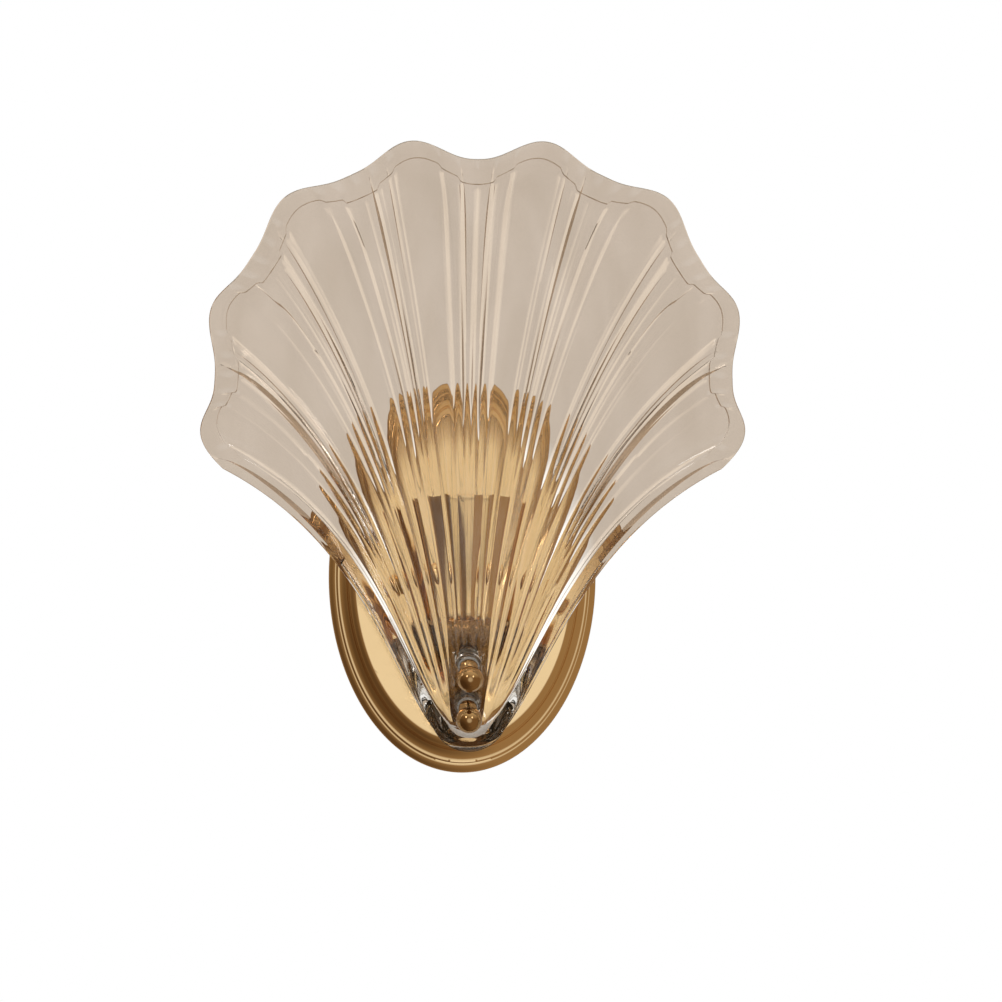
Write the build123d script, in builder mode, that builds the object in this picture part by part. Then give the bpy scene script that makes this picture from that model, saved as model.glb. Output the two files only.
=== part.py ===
from build123d import *
import os
from math import asin, cos, exp, pi, radians, sin, tan, tanh

# Shell wall sconce: a lobed and fluted glass shell held by two ball nuts on a bent brass strip,
# in front of an oval brass canopy, with a small upright lamp holder behind the glass.
# Millimetres. The wall is the plane Y = 0, the front faces -Y, +Z is up, X = 0 is the middle.

# ---- canopy (oval wall plate, pressed from sheet) ----
canopy_width = 123.0
canopy_height = 180.0
face_width = 97.8
face_height = 147.6
canopy_wall = 1.2
edge_height = 1.8
lip_rise = 3.4
cove_rise = 3.8
bead_rise = 4.1
step_rise = 0.45
lip_share = 0.28
cove_share = 0.36
step_share = 0.03
canopy_depth = edge_height + lip_rise + cove_rise + bead_rise + 2 * step_rise

# ---- machine screws and nuts ----
stud_d = 4.0
stud_clearance = 0.4
nut_flats = 7.0
nut_height = 3.2
head_d = 7.0
head_height = 2.4
slot_width = 1.0
slot_depth = 1.0
turning_gap = 0.05
seat_gap = 0.1

# ---- wall crossbar ----
crossbar_length = 104.0
crossbar_width = 20.0
crossbar_thick = 2.0
stud_spacing = 44.0
wall_slot_spacing = 80.0
wall_slot_length = 14.0
wall_slot_width = 5.0

# ---- ball nuts ----
cap_nut_r = 5.0
cap_nut_straight = 5.0
cap_nut_dome = 3.0
cap_nut_end = 1.5
shade_ball_r = 5.9
shade_collar_r = 4.2
shade_collar_height = 6.0
ball_bore_end = 2.0

# ---- bracket strip ----
strip_width = 20.4
strip_thick = 2.0
foot_bottom = -39.5
shelf_level = -18.0
bend_r = 3.0
drop_tilt = 25.0
drop_middle = (0.0, -44.95, -43.72)
drop_below = 26.6
foot_screw_levels = (-25.5, -34.5)

# ---- shade fixing ----
shade_hole_pitch = 20.5
shade_hole_d = 8.6
rear_washer_thick = 2.0
rear_washer_r = 5.8
front_washer_thick = 1.5
front_washer_r = 4.8
pad_thick = 7.5
pad_r = 6.0
seat_cut = 4.0
sleeve_gap = 0.15

# ---- glass shell ----
rim_lean = 16.0
rim_foot_y = -61.14
rim_foot_z = -80.0
hub_z = 50.0
fan_r = 135.5
fan_side_drop = 23.0
fan_side_power = 5.7
fan_middle_dip = 4.6
fan_dip_width = 0.1
fan_corner_drop = 5.0
fan_angle_inner = 88.0
fan_angle_outer = 90.5
rim_band = 7.2
rim_notch = 3.2
lobe_rise = 6.7
lobe_power = 1.4
lobe_pitch = 0.2624
lobe_depth_share = 0.22
heel_z = -59.4
heel_r_inner = 10.9
heel_r_outer = 17.2
heel_angle = 65.0
waist_low_inner = (31.3, -35.8)
waist_low_outer = (36.0, -39.5)
waist_high_inner = (44.4, 22.7)
waist_high_outer = (48.4, 17.7)
waist_low_middle = 14.0
waist_high_middle = 99.0
waist_spread = 2.4
glass_thick = 5.0
rim_thick = 4.0
end_hair = 0.02
probe = 0.002
neck_depth = 13.0
heel_extra_depth = 11.0
heel_reach = 0.13
dish_depth = 28.0
rim_turn = 0.2
neck_hollow = 0.5
dish_hollow = 0.9
flutes_per_valley = 4
valley_share = 0.6
flute_height = 1.3
border_share = 0.08

# ---- lamp holder ----
lamp_y = -35.0
nipple_r = 5.0
nipple_bore_r = 3.6
nipple_below = 8.0
nipple_above = 9.0
nipple_nut_flats = 14.0
nipple_nut_height = 3.0
cup_bottom_r = 9.6
cup_top_r = 16.5
cup_height = 56.0
cup_wall = 0.9
base_r = 7.6
base_height = 11.0
boss_r = 2.6
boss_height = 1.5
socket_r = 6.95
socket_wall = 0.5
socket_length = 26.0
socket_foot_r = 6.0
socket_foot = 6.5
socket_fit = 0.1
skirt_overlap = 5.0
skirt_height = 37.0
skirt_wall = 1.2
skirt_lip = 1.4
contact_width = 3.0
contact_thick = 0.5
rivet_r = 0.8
rivet_head_r = 1.2
rivet_head = 0.6
rivet_pitch = 8.8

# ---- leads and terminals ----
lead_d = 2.0
lead_bend_r = 6.4
lead_spread = 1.9
lead_grip = 4.0
lead_drop = 6.0
lead_rise = 14.0
lead_end = 3.0
earth_drop = 4.0
earth_rise = 10.0
lead_behind = 6.0
lead_hole_z = -46.0
grommet_r = 5.0
grommet_bore_r = 3.4
grommet_flange_r = 6.0
grommet_flange = 1.2
block_width = 18.0
block_height = 12.0
block_thick = 8.0
block_z = 3.5
block_screw_d = 3.0
terminal_pitch = 10.0
terminal_well_r = 1.9
terminal_well = 3.0
terminal_gap = 0.3
terminal_screw_r = 1.5
earth_screw_x = -13.5
earth_run_x = -16.0
tag_r = 3.6
tag_thick = 0.8
tag_reach = 9.5
barrel_r = 1.6
barrel_length = 5.0

os.makedirs("parts", exist_ok=True)

FRONT = Vector(0, -1, 0)
UP = Vector(0, 0, 1)


def save(builder, label):
    builder.part.label = label
    export_step(builder.part, f"parts/{label}.step")
    return builder.part


def face_plane(origin, axis):
    """A sketch plane square to axis, with its X along the object's X."""
    return Plane(origin=origin, x_dir=(1, 0, 0), z_dir=axis)


def profile_plane(origin, axis):
    """A sketch plane that holds axis as its Y, for profiles to revolve about axis."""
    return Plane(origin=origin, x_dir=(1, 0, 0), z_dir=Vector(1, 0, 0).cross(axis))


def along(origin, axis, distance):
    return Vector(*origin) + axis * distance


# ======================================================================
# Canopy: stacked oval rings, from the wall to the flat face
# ======================================================================
def oval(share, level, inset):
    """Oval section at a share of the moulding's width and a level off the wall."""
    x_radius = (canopy_width - (canopy_width - face_width) * share) / 2 - inset
    z_radius = (canopy_height - (canopy_height - face_height) * share) / 2 - inset
    with BuildSketch(Plane.XZ.offset(level)) as ring:
        Ellipse(x_radius, z_radius)
    return ring.sketch


def moulding(inset, sink):
    """Lofts the solid moulding, drawn in by inset and lowered by sink."""
    lip_top = edge_height + lip_rise - sink
    cove_top = lip_top + step_rise + cove_rise
    face_share = 1.0 - lip_share - cove_share - 2 * step_share
    cove_share_start = lip_share + step_share
    bead_share_start = cove_share_start + cove_share + step_share
    turns = [0, 30, 60, 90]
    lip = [
        oval(lip_share * (1 - cos(radians(t))), edge_height - sink + lip_rise * sin(radians(t)), inset)
        for t in turns
    ]
    cove = [
        oval(
            cove_share_start + cove_share * sin(radians(t)),
            lip_top + step_rise + cove_rise * (1 - cos(radians(t))),
            inset,
        )
        for t in turns
    ]
    bead = [
        oval(
            bead_share_start + face_share * (1 - cos(radians(t))),
            cove_top + step_rise + bead_rise * sin(radians(t)),
            inset,
        )
        for t in turns
    ]
    rings = [oval(0, 0, inset)] + lip + cove + bead
    loft(sections=rings, ruled=True)


with BuildPart() as canopy_cavity:
    moulding(canopy_wall, canopy_wall)

with BuildPart() as canopy:
    moulding(0, 0)
    add(canopy_cavity.part, mode=Mode.SUBTRACT)
    with Locations(Plane.XZ.offset(canopy_depth)):
        with Locations((-stud_spacing / 2, 0), (stud_spacing / 2, 0)):
            Hole((stud_d + stud_clearance) / 2, depth=2 * canopy_wall)
        with Locations(*[(0, level) for level in foot_screw_levels]):
            Hole((stud_d + stud_clearance) / 2, depth=2 * canopy_wall)
        with Locations((0, lead_hole_z)):
            Hole(grommet_r, depth=2 * canopy_wall)
save(canopy, "canopy")


# ======================================================================
# Fasteners
# ======================================================================
stud_r = stud_d / 2
nut_bore_r = stud_r + turning_gap


def ring(origin, axis, outer_r, bore_r, height):
    """A washer or tube that stands on origin and grows along axis."""
    with BuildPart() as made:
        with BuildSketch(face_plane(origin, axis)):
            Circle(outer_r)
            Circle(bore_r, mode=Mode.SUBTRACT)
        extrude(amount=height)
    return made


def hex_nut(origin, axis, flats, bore_r, height):
    with BuildPart() as made:
        with BuildSketch(face_plane(origin, axis)):
            RegularPolygon(flats / 2, 6, major_radius=False)
            Circle(bore_r, mode=Mode.SUBTRACT)
        extrude(amount=height)
    return made


def rod(origin, axis, radius, length, chamfer_end=0.5):
    with BuildPart() as made:
        with BuildSketch(face_plane(origin, axis)):
            Circle(radius)
        extrude(amount=length)
        chamfer(made.faces().sort_by(Axis(origin, axis))[-1].edges(), chamfer_end)
    return made


def slotted_screw(origin, axis, shank_r, shank_length, head_r, height):
    """A screw whose head sits on origin and whose shank runs against axis."""
    with BuildPart() as made:
        with BuildSketch(face_plane(origin, axis)):
            Circle(head_r)
        extrude(amount=height)
        chamfer(made.faces().sort_by(Axis(origin, axis))[-1].edges(), height / 4)
        with BuildSketch(face_plane(along(origin, axis, height), axis)):
            Rectangle(2 * head_r, slot_width)
        extrude(amount=-slot_depth, mode=Mode.SUBTRACT)
        with BuildSketch(face_plane(origin, axis)):
            Circle(shank_r)
        extrude(amount=-shank_length)
    return made


def ball_nut(origin, axis, ball_r, collar_r, collar_height, bore_r):
    """A ball on a waisted collar, with a blind bore from its seat at origin."""
    ball_level = collar_height + (ball_r**2 - (0.62 * collar_r) ** 2) ** 0.5
    foot_height = 0.3 * collar_height
    with BuildPart() as made:
        with BuildSketch(profile_plane(origin, axis)):
            with BuildLine():
                Polyline((0, 0), (collar_r, 0), (collar_r, foot_height))
                Line((collar_r, foot_height), (0.62 * collar_r, collar_height))
                ThreePointArc(
                    (0.62 * collar_r, collar_height),
                    (ball_r, ball_level),
                    (0, ball_level + ball_r),
                )
                Line((0, ball_level + ball_r), (0, 0))
            make_face()
        revolve(axis=Axis(origin, axis))
        with BuildSketch(face_plane(origin, axis)):
            Circle(bore_r)
        extrude(amount=ball_level + ball_r - ball_bore_end, mode=Mode.SUBTRACT)
    return made


def cap_nut(origin, axis):
    """A round nut with a shallow dome and a blind bore from its seat at origin."""
    dome_r = (cap_nut_r**2 + cap_nut_dome**2) / (2 * cap_nut_dome)
    top = cap_nut_straight + cap_nut_dome
    half = asin(cap_nut_r / dome_r) / 2
    middle = (dome_r * sin(half), top - dome_r + dome_r * cos(half))
    with BuildPart() as made:
        with BuildSketch(profile_plane(origin, axis)):
            with BuildLine():
                Polyline((0, 0), (cap_nut_r, 0), (cap_nut_r, cap_nut_straight))
                ThreePointArc((cap_nut_r, cap_nut_straight), middle, (0, top))
                Line((0, top), (0, 0))
            make_face()
        revolve(axis=Axis(origin, axis))
        with BuildSketch(face_plane(origin, axis)):
            Circle(nut_bore_r)
        extrude(amount=top - cap_nut_end, mode=Mode.SUBTRACT)
    return made


def group(label, made):
    """Several like fasteners in one node, each its own solid."""
    with BuildPart() as together:
        for piece in made:
            add(piece.part)
    save(together, label)



# ======================================================================
# Wall crossbar with its studs, and the canopy's cap nuts
# ======================================================================
with BuildPart() as crossbar:
    with BuildSketch(Plane.XZ):
        RectangleRounded(crossbar_length, crossbar_width, crossbar_width / 4)
        with Locations((-wall_slot_spacing / 2, 0), (wall_slot_spacing / 2, 0)):
            SlotOverall(wall_slot_length, wall_slot_width, mode=Mode.SUBTRACT)
        with Locations((-stud_spacing / 2, 0), (stud_spacing / 2, 0)):
            Circle(stud_r, mode=Mode.SUBTRACT)
        with Locations((0, block_z)):
            Circle(block_screw_d / 2, mode=Mode.SUBTRACT)
        with Locations((earth_screw_x, 0)):
            Circle(stud_r, mode=Mode.SUBTRACT)
    extrude(amount=crossbar_thick)
save(crossbar, "wall_crossbar")

stud_length = canopy_depth + cap_nut_straight
group(
    "canopy_studs",
    [rod((side * stud_spacing / 2, 0, 0), FRONT, stud_r, stud_length) for side in (-1, 1)],
)
group(
    "crossbar_lock_nuts",
    [
        hex_nut((side * stud_spacing / 2, -crossbar_thick, 0), FRONT, nut_flats, stud_r, nut_height)
        for side in (-1, 1)
    ],
)
for side, word in ((-1, "left"), (1, "right")):
    save(cap_nut((side * stud_spacing / 2, -canopy_depth - seat_gap, 0), FRONT), f"canopy_nut_{word}")

# ======================================================================
# Bracket strip: foot on the canopy, shelf for the lamp holder, drop for the glass
# ======================================================================
drop_axis = Vector(0, -cos(radians(drop_tilt)), -sin(radians(drop_tilt)))
drop_up = Vector(0, -sin(radians(drop_tilt)), cos(radians(drop_tilt)))
drop_back = along(drop_middle, drop_axis, -strip_thick)
half_thick = strip_thick / 2
shelf_middle = shelf_level - half_thick
drop_mid_y = drop_middle[1] + half_thick * cos(radians(drop_tilt))
drop_mid_z = drop_middle[2] + half_thick * sin(radians(drop_tilt))
front_bend_y = drop_mid_y - (shelf_middle - drop_mid_z) * tan(radians(drop_tilt))
drop_end = Vector(0, drop_mid_y, drop_mid_z) - drop_up * drop_below
foot_y = -canopy_depth - half_thick
shade_holes = [along(drop_middle, drop_up, side * shade_hole_pitch / 2) for side in (-1, 1)]

with BuildPart() as bracket:
    with BuildLine() as strip_path:
        FilletPolyline(
            (0, foot_y, foot_bottom),
            (0, foot_y, shelf_middle),
            (0, front_bend_y, shelf_middle),
            drop_end,
            radius=bend_r,
        )
    with BuildSketch(Plane(origin=(0, foot_y, foot_bottom), x_dir=(1, 0, 0), z_dir=(0, 0, 1))):
        Rectangle(strip_width, strip_thick)
    sweep()
    with BuildSketch(Plane.XY.offset(shelf_level)):
        with Locations((0, lamp_y)):
            Circle(nipple_r + stud_clearance / 4)
    extrude(amount=-strip_thick, mode=Mode.SUBTRACT)
    with BuildSketch(Plane.XZ.offset(canopy_depth)):
        with Locations(*[(0, level) for level in foot_screw_levels]):
            Circle((stud_d + stud_clearance) / 2)
    extrude(amount=strip_thick, mode=Mode.SUBTRACT)
    for hole in shade_holes:
        with BuildSketch(face_plane(hole, drop_axis)):
            Circle((stud_d + stud_clearance) / 2)
        extrude(amount=-strip_thick, mode=Mode.SUBTRACT)
save(bracket, "shade_bracket")

inner_face = canopy_depth - canopy_wall
group(
    "bracket_screws",
    [
        slotted_screw(
            (0, -canopy_depth - strip_thick, level),
            FRONT,
            stud_r,
            strip_thick + canopy_wall + nut_height + tag_thick + 0.5,
            head_d / 2,
            head_height,
        )
        for level in foot_screw_levels
    ],
)
group(
    "bracket_nuts",
    [
        hex_nut((0, nut_height + under - inner_face, level), FRONT, nut_flats, stud_r, nut_height)
        for level, under in zip(foot_screw_levels, (0, tag_thick))
    ],
)

# ======================================================================
# Shade fixing: stud, lock nut, washers, sleeve and ball nut, stacked on the drop
# ======================================================================
pad_back = rear_washer_thick
pad_front = pad_back + pad_thick
washer_front = pad_front + front_washer_thick
nut_seat = washer_front + seat_gap
shade_stud_length = strip_thick + nut_height + 1.5 + nut_seat + shade_collar_height + shade_ball_r
shade_stud_foot = -(strip_thick + nut_height + 1.5)

group(
    "shade_studs",
    [rod(along(h, drop_axis, shade_stud_foot), drop_axis, stud_r, shade_stud_length) for h in shade_holes],
)
group(
    "shade_lock_nuts",
    [
        hex_nut(
            along(h, drop_axis, -strip_thick - nut_height), drop_axis, nut_flats, stud_r, nut_height
        )
        for h in shade_holes
    ],
)
group(
    "rear_washers",
    [ring(h, drop_axis, rear_washer_r, stud_r + stud_clearance / 2, rear_washer_thick) for h in shade_holes],
)
group(
    "hole_sleeves",
    [
        ring(
            along(h, drop_axis, pad_back),
            drop_axis,
            shade_hole_d / 2 - sleeve_gap,
            stud_r + stud_clearance / 2,
            pad_thick,
        )
        for h in shade_holes
    ],
)
group(
    "front_washers",
    [
        ring(
            along(h, drop_axis, pad_front),
            drop_axis,
            front_washer_r,
            stud_r + stud_clearance / 2,
            front_washer_thick,
        )
        for h in shade_holes
    ],
)
for hole, word in zip(shade_holes, ("lower", "upper")):
    shade_nut = ball_nut(
        along(hole, drop_axis, nut_seat),
        drop_axis,
        shade_ball_r,
        shade_collar_r,
        shade_collar_height,
        nut_bore_r,
    )
    save(shade_nut, f"shade_ball_nut_{word}")


# ======================================================================
# Glass shell. A meridian runs from the heel at the bottom to the rim. Across the fan,
# side goes from -1 to 1; along a meridian, rise goes from 0 to 1. Skin 0 is the front
# face, skin 1 the back face. Both faces end in one flat, leaning rim plane.
# ======================================================================
def mix(inner, outer, skin):
    return inner + (outer - inner) * skin


def ease(low, high, value):
    """Smooth step from 0 at low to 1 at high."""
    t = min(max((value - low) / (high - low), 0.0), 1.0)
    return t * t * (3 - 2 * t)


def lobe_wave(side):
    """1 at the middle of a lobe, 0 at the middle of a valley."""
    return (1 - cos(2 * pi * side / lobe_pitch)) / 2


def notch(side):
    """How far the flutes push the rim's inner line in: most over the middle flutes of a valley."""
    valley = abs((side / lobe_pitch + 0.5) % 1.0 - 0.5)
    half_valley = valley_share / 2
    outer_flutes = ease(0.04, -0.01, valley - half_valley)
    inner_flutes = ease(0.02, -0.01, valley - half_valley / 2)
    return 0.45 * outer_flutes + 0.55 * inner_flutes


def rim_plan(side, skin):
    """Rim point in front view: a fan of lobes about the hub."""
    angle = radians(mix(fan_angle_inner, fan_angle_outer, skin)) * side
    radius = fan_r - fan_side_drop * abs(sin(angle)) ** fan_side_power
    radius -= fan_middle_dip * exp(-((side / fan_dip_width) ** 2))
    radius -= fan_corner_drop * abs(side) ** 24
    radius += lobe_rise * lobe_wave(side) ** lobe_power
    radius -= (rim_band + rim_notch * notch(side)) * (1 - skin)
    return radius * sin(angle), hub_z + radius * cos(angle)


def plan(side, rise, skin):
    """Point of a meridian in front view: a cubic from the heel over two waists to the rim."""
    heel_r = mix(heel_r_inner, heel_r_outer, skin)
    turn = radians(heel_angle) * side
    across = sin(pi * side / 2)
    inward = cos(pi * side / 2)
    spread = tanh(waist_spread * side) / tanh(waist_spread)
    low_x = mix(waist_low_inner[0], waist_low_outer[0], skin)
    low_z = mix(waist_low_inner[1], waist_low_outer[1], skin)
    high_x = mix(waist_high_inner[0], waist_high_outer[0], skin)
    high_z = mix(waist_high_inner[1], waist_high_outer[1], skin)
    heel = (heel_r * sin(turn), heel_z - heel_r * cos(turn))
    low = (low_x * across, low_z + (waist_low_middle - waist_low_inner[1]) * inward)
    high = (high_x * spread, high_z + (waist_high_middle - waist_high_inner[1]) * inward)
    rim = rim_plan(side, skin)
    weights = ((1 - rise) ** 3, 3 * rise * (1 - rise) ** 2, 3 * rise**2 * (1 - rise), rise**3)
    x = sum(w * p[0] for w, p in zip(weights, (heel, low, high, rim)))
    z = sum(w * p[1] for w, p in zip(weights, (heel, low, high, rim)))
    return x, z


def flute_ridge(side):
    """1 on a ridge between flutes, falling to 0 in the flute and across the smooth lobe."""
    valley = (side / lobe_pitch + 0.5) % 1.0 - 0.5
    half_valley = valley_share / 2
    if abs(valley) <= half_valley + 1e-6:
        flute = (valley / (valley_share / flutes_per_valley)) % 1.0
        return (2 * abs(flute - 0.5)) ** 2
    return max(0.0, 1 - (abs(valley) - half_valley) / border_share) ** 2


def bowl_point(side, rise, fluted):
    """Point of the bowl's inside, with or without the flutes' ridges."""
    inward = max(round(cos(pi * side / 2), 9), 0.0)
    closing = (1 - exp(-rise / 0.012)) * (1 - exp(-(1 - rise) / rim_turn))
    if rise == 1.0 or rise == 0.0:
        closing = 0.0
    depth = neck_depth + heel_extra_depth * exp(-((rise / heel_reach) ** 1.5))
    depth += (dish_depth - neck_depth) * ease(0.15, 0.6, rise)
    depth *= inward ** mix(neck_hollow, dish_hollow, min(rise / 0.4, 1.0)) * closing
    depth *= 1 + lobe_depth_share * (2 * lobe_wave(side) ** 1.2 - 1) * rise**1.5
    if fluted:
        fade = ease(0.25, 0.6, rise) * min(1.0, (1 - rise) / 0.05) * inward**0.3
        depth -= flute_height * flute_ridge(side) * fade
    return on_rim(plan(side, rise, 0), depth)


def on_rim(place, depth):
    """A front-view place at a depth behind the leaning rim plane."""
    return Vector(place[0], rim_foot_y - tan(radians(rim_lean)) * (place[1] - rim_foot_z) + depth, place[1])


def back_point(side, rise):
    """Outside of the wall: the bowl thickened along its normal, drawn out to the rim's edge."""
    near_side = max(min(side, 1 - 2 * probe), 2 * probe - 1)
    near_rise = max(min(rise, 1 - 2 * probe), 2 * probe)
    across = bowl_point(near_side + probe, near_rise, False) - bowl_point(near_side - probe, near_rise, False)
    upward = bowl_point(near_side, near_rise + probe, False) - bowl_point(near_side, near_rise - probe, False)
    outward = upward.cross(across).normalized()
    if outward.Y < 0:
        outward = -outward
    wall = bowl_point(near_side, near_rise, False) + outward * glass_thick
    edge = 1 - (1 - abs(side) ** 12) * (1 - exp(-rise / 0.02)) * (1 - exp(-(1 - rise) / 0.035))
    if abs(side) == 1.0 or rise in (0.0, 1.0):
        edge = 1.0
    rim = on_rim(plan(side, rise, 1), rim_thick)
    return wall * (1 - edge) + rim * edge


def side_stations():
    """Where the sections lie across the fan: on every ridge, in every flute and over each lobe."""
    flute_width = valley_share / flutes_per_valley
    stations = []
    for valley in range(-3, 4):
        for step in range(2 * flutes_per_valley + 1):
            stations.append(valley - valley_share / 2 + step * flute_width / 2)
        if valley < 3:
            for share in (0.2, 0.5, 0.8):
                stations.append(valley + valley_share / 2 + share * (1 - valley_share))
    half = [s * lobe_pitch for s in stations]
    last = half[-1]
    ends = [last + (1 - last) * share for share in (0.3, 0.6, 0.8, 0.93, 0.985, 1.0)]
    return [-s for s in reversed(ends)] + half + ends


rise_stations = [0, 0.006, 0.016, 0.035, 0.07, 0.13, 0.21, 0.3, 0.41, 0.53, 0.66, 0.78, 0.87, 0.94, 1]


def section(side):
    """Closed wire along one meridian: bowl, rim face, rim wall, back, heel wall and heel face."""
    if abs(side) == 1.0:
        back_points = [on_rim(plan(side, r, 1 + end_hair), 0) for r in rise_stations]
    else:
        back_points = [back_point(side, r) for r in rise_stations]
    front_points = [bowl_point(side, r, True) for r in rise_stations]
    rim_corner = on_rim(plan(side, 1.0, 1), 0)
    heel_corner = on_rim(plan(side, 0.0, 1), 0)
    return Wire(
        [
            Edge.make_spline(front_points, parameters=rise_stations),
            Edge.make_line(front_points[-1], rim_corner),
            Edge.make_line(rim_corner, back_points[-1]),
            Edge.make_spline(back_points, parameters=rise_stations),
            Edge.make_line(back_points[0], heel_corner),
            Edge.make_line(heel_corner, front_points[0]),
        ]
    )


bowl = Solid.make_loft([section(side) for side in side_stations()], ruled=True)
with BuildPart() as glass_shade:
    add(bowl)
    with BuildSketch(
        Plane(origin=along(drop_middle, drop_axis, pad_back), x_dir=drop_up, z_dir=drop_axis)
    ) as pad:
        SlotCenterToCenter(shade_hole_pitch, 2 * pad_r)
    extrude(amount=-seat_cut, mode=Mode.SUBTRACT)
    extrude(pad.sketch, amount=pad_thick)
    for hole in shade_holes:
        with BuildSketch(face_plane(along(hole, drop_axis, pad_back), drop_axis)):
            Circle(shade_hole_d / 2)
        extrude(amount=pad_thick, mode=Mode.SUBTRACT)
save(glass_shade, "glass_shade")
print("glass shade valid", glass_shade.part.is_valid, "volume", round(glass_shade.part.volume))

# ======================================================================
# Lamp holder on the shelf: nipple, nuts, cup, insulator, threaded shell, skirt, contact
# ======================================================================
def level_on_lamp(level):
    return (0, lamp_y, level)


save(
    ring(
        level_on_lamp(shelf_level - nipple_below),
        UP,
        nipple_r,
        nipple_bore_r,
        nipple_below + nipple_above,
    ),
    "lampholder_nipple",
)
save(
    hex_nut(
        level_on_lamp(shelf_level - strip_thick - nipple_nut_height),
        UP,
        nipple_nut_flats,
        nipple_r,
        nipple_nut_height,
    ),
    "nipple_nut_lower",
)
save(
    hex_nut(
        level_on_lamp(shelf_level + cup_wall), UP, nipple_nut_flats, nipple_r, nipple_nut_height
    ),
    "nipple_nut_upper",
)

cup_hole_r = nipple_r + seat_gap
with BuildPart() as cup:
    with BuildSketch(profile_plane(level_on_lamp(shelf_level), UP)):
        with BuildLine():
            Line((cup_hole_r, 0), (cup_bottom_r, 0))
            TangentArc((cup_bottom_r, 0), (cup_top_r, cup_height), tangent=(0, 1))
            Line((cup_top_r, cup_height), (cup_top_r - cup_wall, cup_height))
            TangentArc(
                (cup_bottom_r - cup_wall, cup_wall),
                (cup_top_r - cup_wall, cup_height),
                tangent=(0, 1),
            )
            Polyline(
                (cup_bottom_r - cup_wall, cup_wall),
                (cup_hole_r, cup_wall),
                (cup_hole_r, 0),
            )
        make_face()
    revolve(axis=Axis(level_on_lamp(shelf_level), UP))
save(cup, "lampholder_cup")

base_level = shelf_level + cup_wall + nipple_nut_height
socket_level = base_level + base_height
lead_hole_r = lead_d / 2 + 0.3
with BuildPart() as lamp_base:
    with BuildSketch(Plane.XY.offset(base_level)):
        with Locations((0, lamp_y)):
            Circle(base_r)
    extrude(amount=base_height)
    with BuildSketch(Plane.XY.offset(socket_level)):
        with Locations((0, lamp_y)):
            Circle(boss_r)
    extrude(amount=boss_height)
    with BuildSketch(Plane.XY.offset(base_level)):
        with Locations((0, lamp_y)):
            Circle(nipple_r + seat_gap)
    extrude(amount=shelf_level + nipple_above + seat_gap - base_level, mode=Mode.SUBTRACT)
    with BuildSketch(Plane.XY.offset(base_level)):
        with Locations((-lead_spread, lamp_y), (lead_spread, lamp_y)):
            Circle(lead_hole_r)
    extrude(amount=base_height - 1.5, mode=Mode.SUBTRACT)
    with BuildSketch(Plane.XY.offset(socket_level)):
        with Locations((0, lamp_y - rivet_pitch / 2), (0, lamp_y + rivet_pitch / 2)):
            Circle(rivet_r)
    extrude(amount=-base_height / 3, mode=Mode.SUBTRACT)
save(lamp_base, "lampholder_base")

with BuildPart() as lamp_socket:
    with BuildSketch(Plane.XY.offset(socket_level)):
        with Locations((0, lamp_y)):
            Circle(socket_r + socket_wall)
    extrude(amount=socket_length)
    with BuildSketch(Plane.XY.offset(socket_level + socket_wall)):
        with Locations((0, lamp_y)):
            Circle(socket_foot_r)
    extrude(amount=socket_length, mode=Mode.SUBTRACT)
    with BuildSketch(Plane.XY.offset(socket_level + socket_foot)):
        with Locations((0, lamp_y)):
            Circle(socket_r)
    extrude(amount=socket_length, mode=Mode.SUBTRACT)
    with BuildSketch(Plane.XY.offset(socket_level)):
        with Locations((0, lamp_y)):
            Circle(boss_r + 0.4)
        with Locations((0, lamp_y - rivet_pitch / 2), (0, lamp_y + rivet_pitch / 2)):
            Circle(rivet_r)
    extrude(amount=socket_wall, mode=Mode.SUBTRACT)
save(lamp_socket, "lampholder_shell")

skirt_r = base_r + socket_fit + skirt_wall
with BuildPart() as skirt:
    with BuildSketch(Plane.XY.offset(socket_level - skirt_overlap)):
        with Locations((0, lamp_y)):
            Circle(skirt_r)
            Circle(skirt_r - skirt_wall, mode=Mode.SUBTRACT)
    extrude(amount=skirt_height)
    with BuildSketch(Plane.XY.offset(socket_level - skirt_overlap + skirt_height)):
        with Locations((0, lamp_y)):
            Circle(skirt_r + skirt_lip)
            Circle(skirt_r - skirt_wall, mode=Mode.SUBTRACT)
    extrude(amount=-skirt_lip)
save(skirt, "lampholder_skirt")

contact_middle = socket_level + boss_height + contact_thick / 2
with BuildPart() as contact:
    with BuildLine():
        FilletPolyline(
            (-2.2, lamp_y, contact_middle),
            (2.2, lamp_y, contact_middle),
            (-1.4, lamp_y, contact_middle + 4.0),
            radius=0.9,
        )
    with BuildSketch(Plane(origin=(-2.2, lamp_y, contact_middle), x_dir=(0, 1, 0), z_dir=(1, 0, 0))):
        Rectangle(contact_width, contact_thick)
    sweep()
save(contact, "centre_contact")

group(
    "socket_rivets",
    [
        slotted_screw(
            (0, lamp_y + side * rivet_pitch / 2, socket_level + socket_wall),
            UP,
            rivet_r,
            socket_wall + base_height / 3,
            rivet_head_r,
            rivet_head,
        )
        for side in (-1, 1)
    ],
)

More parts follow.
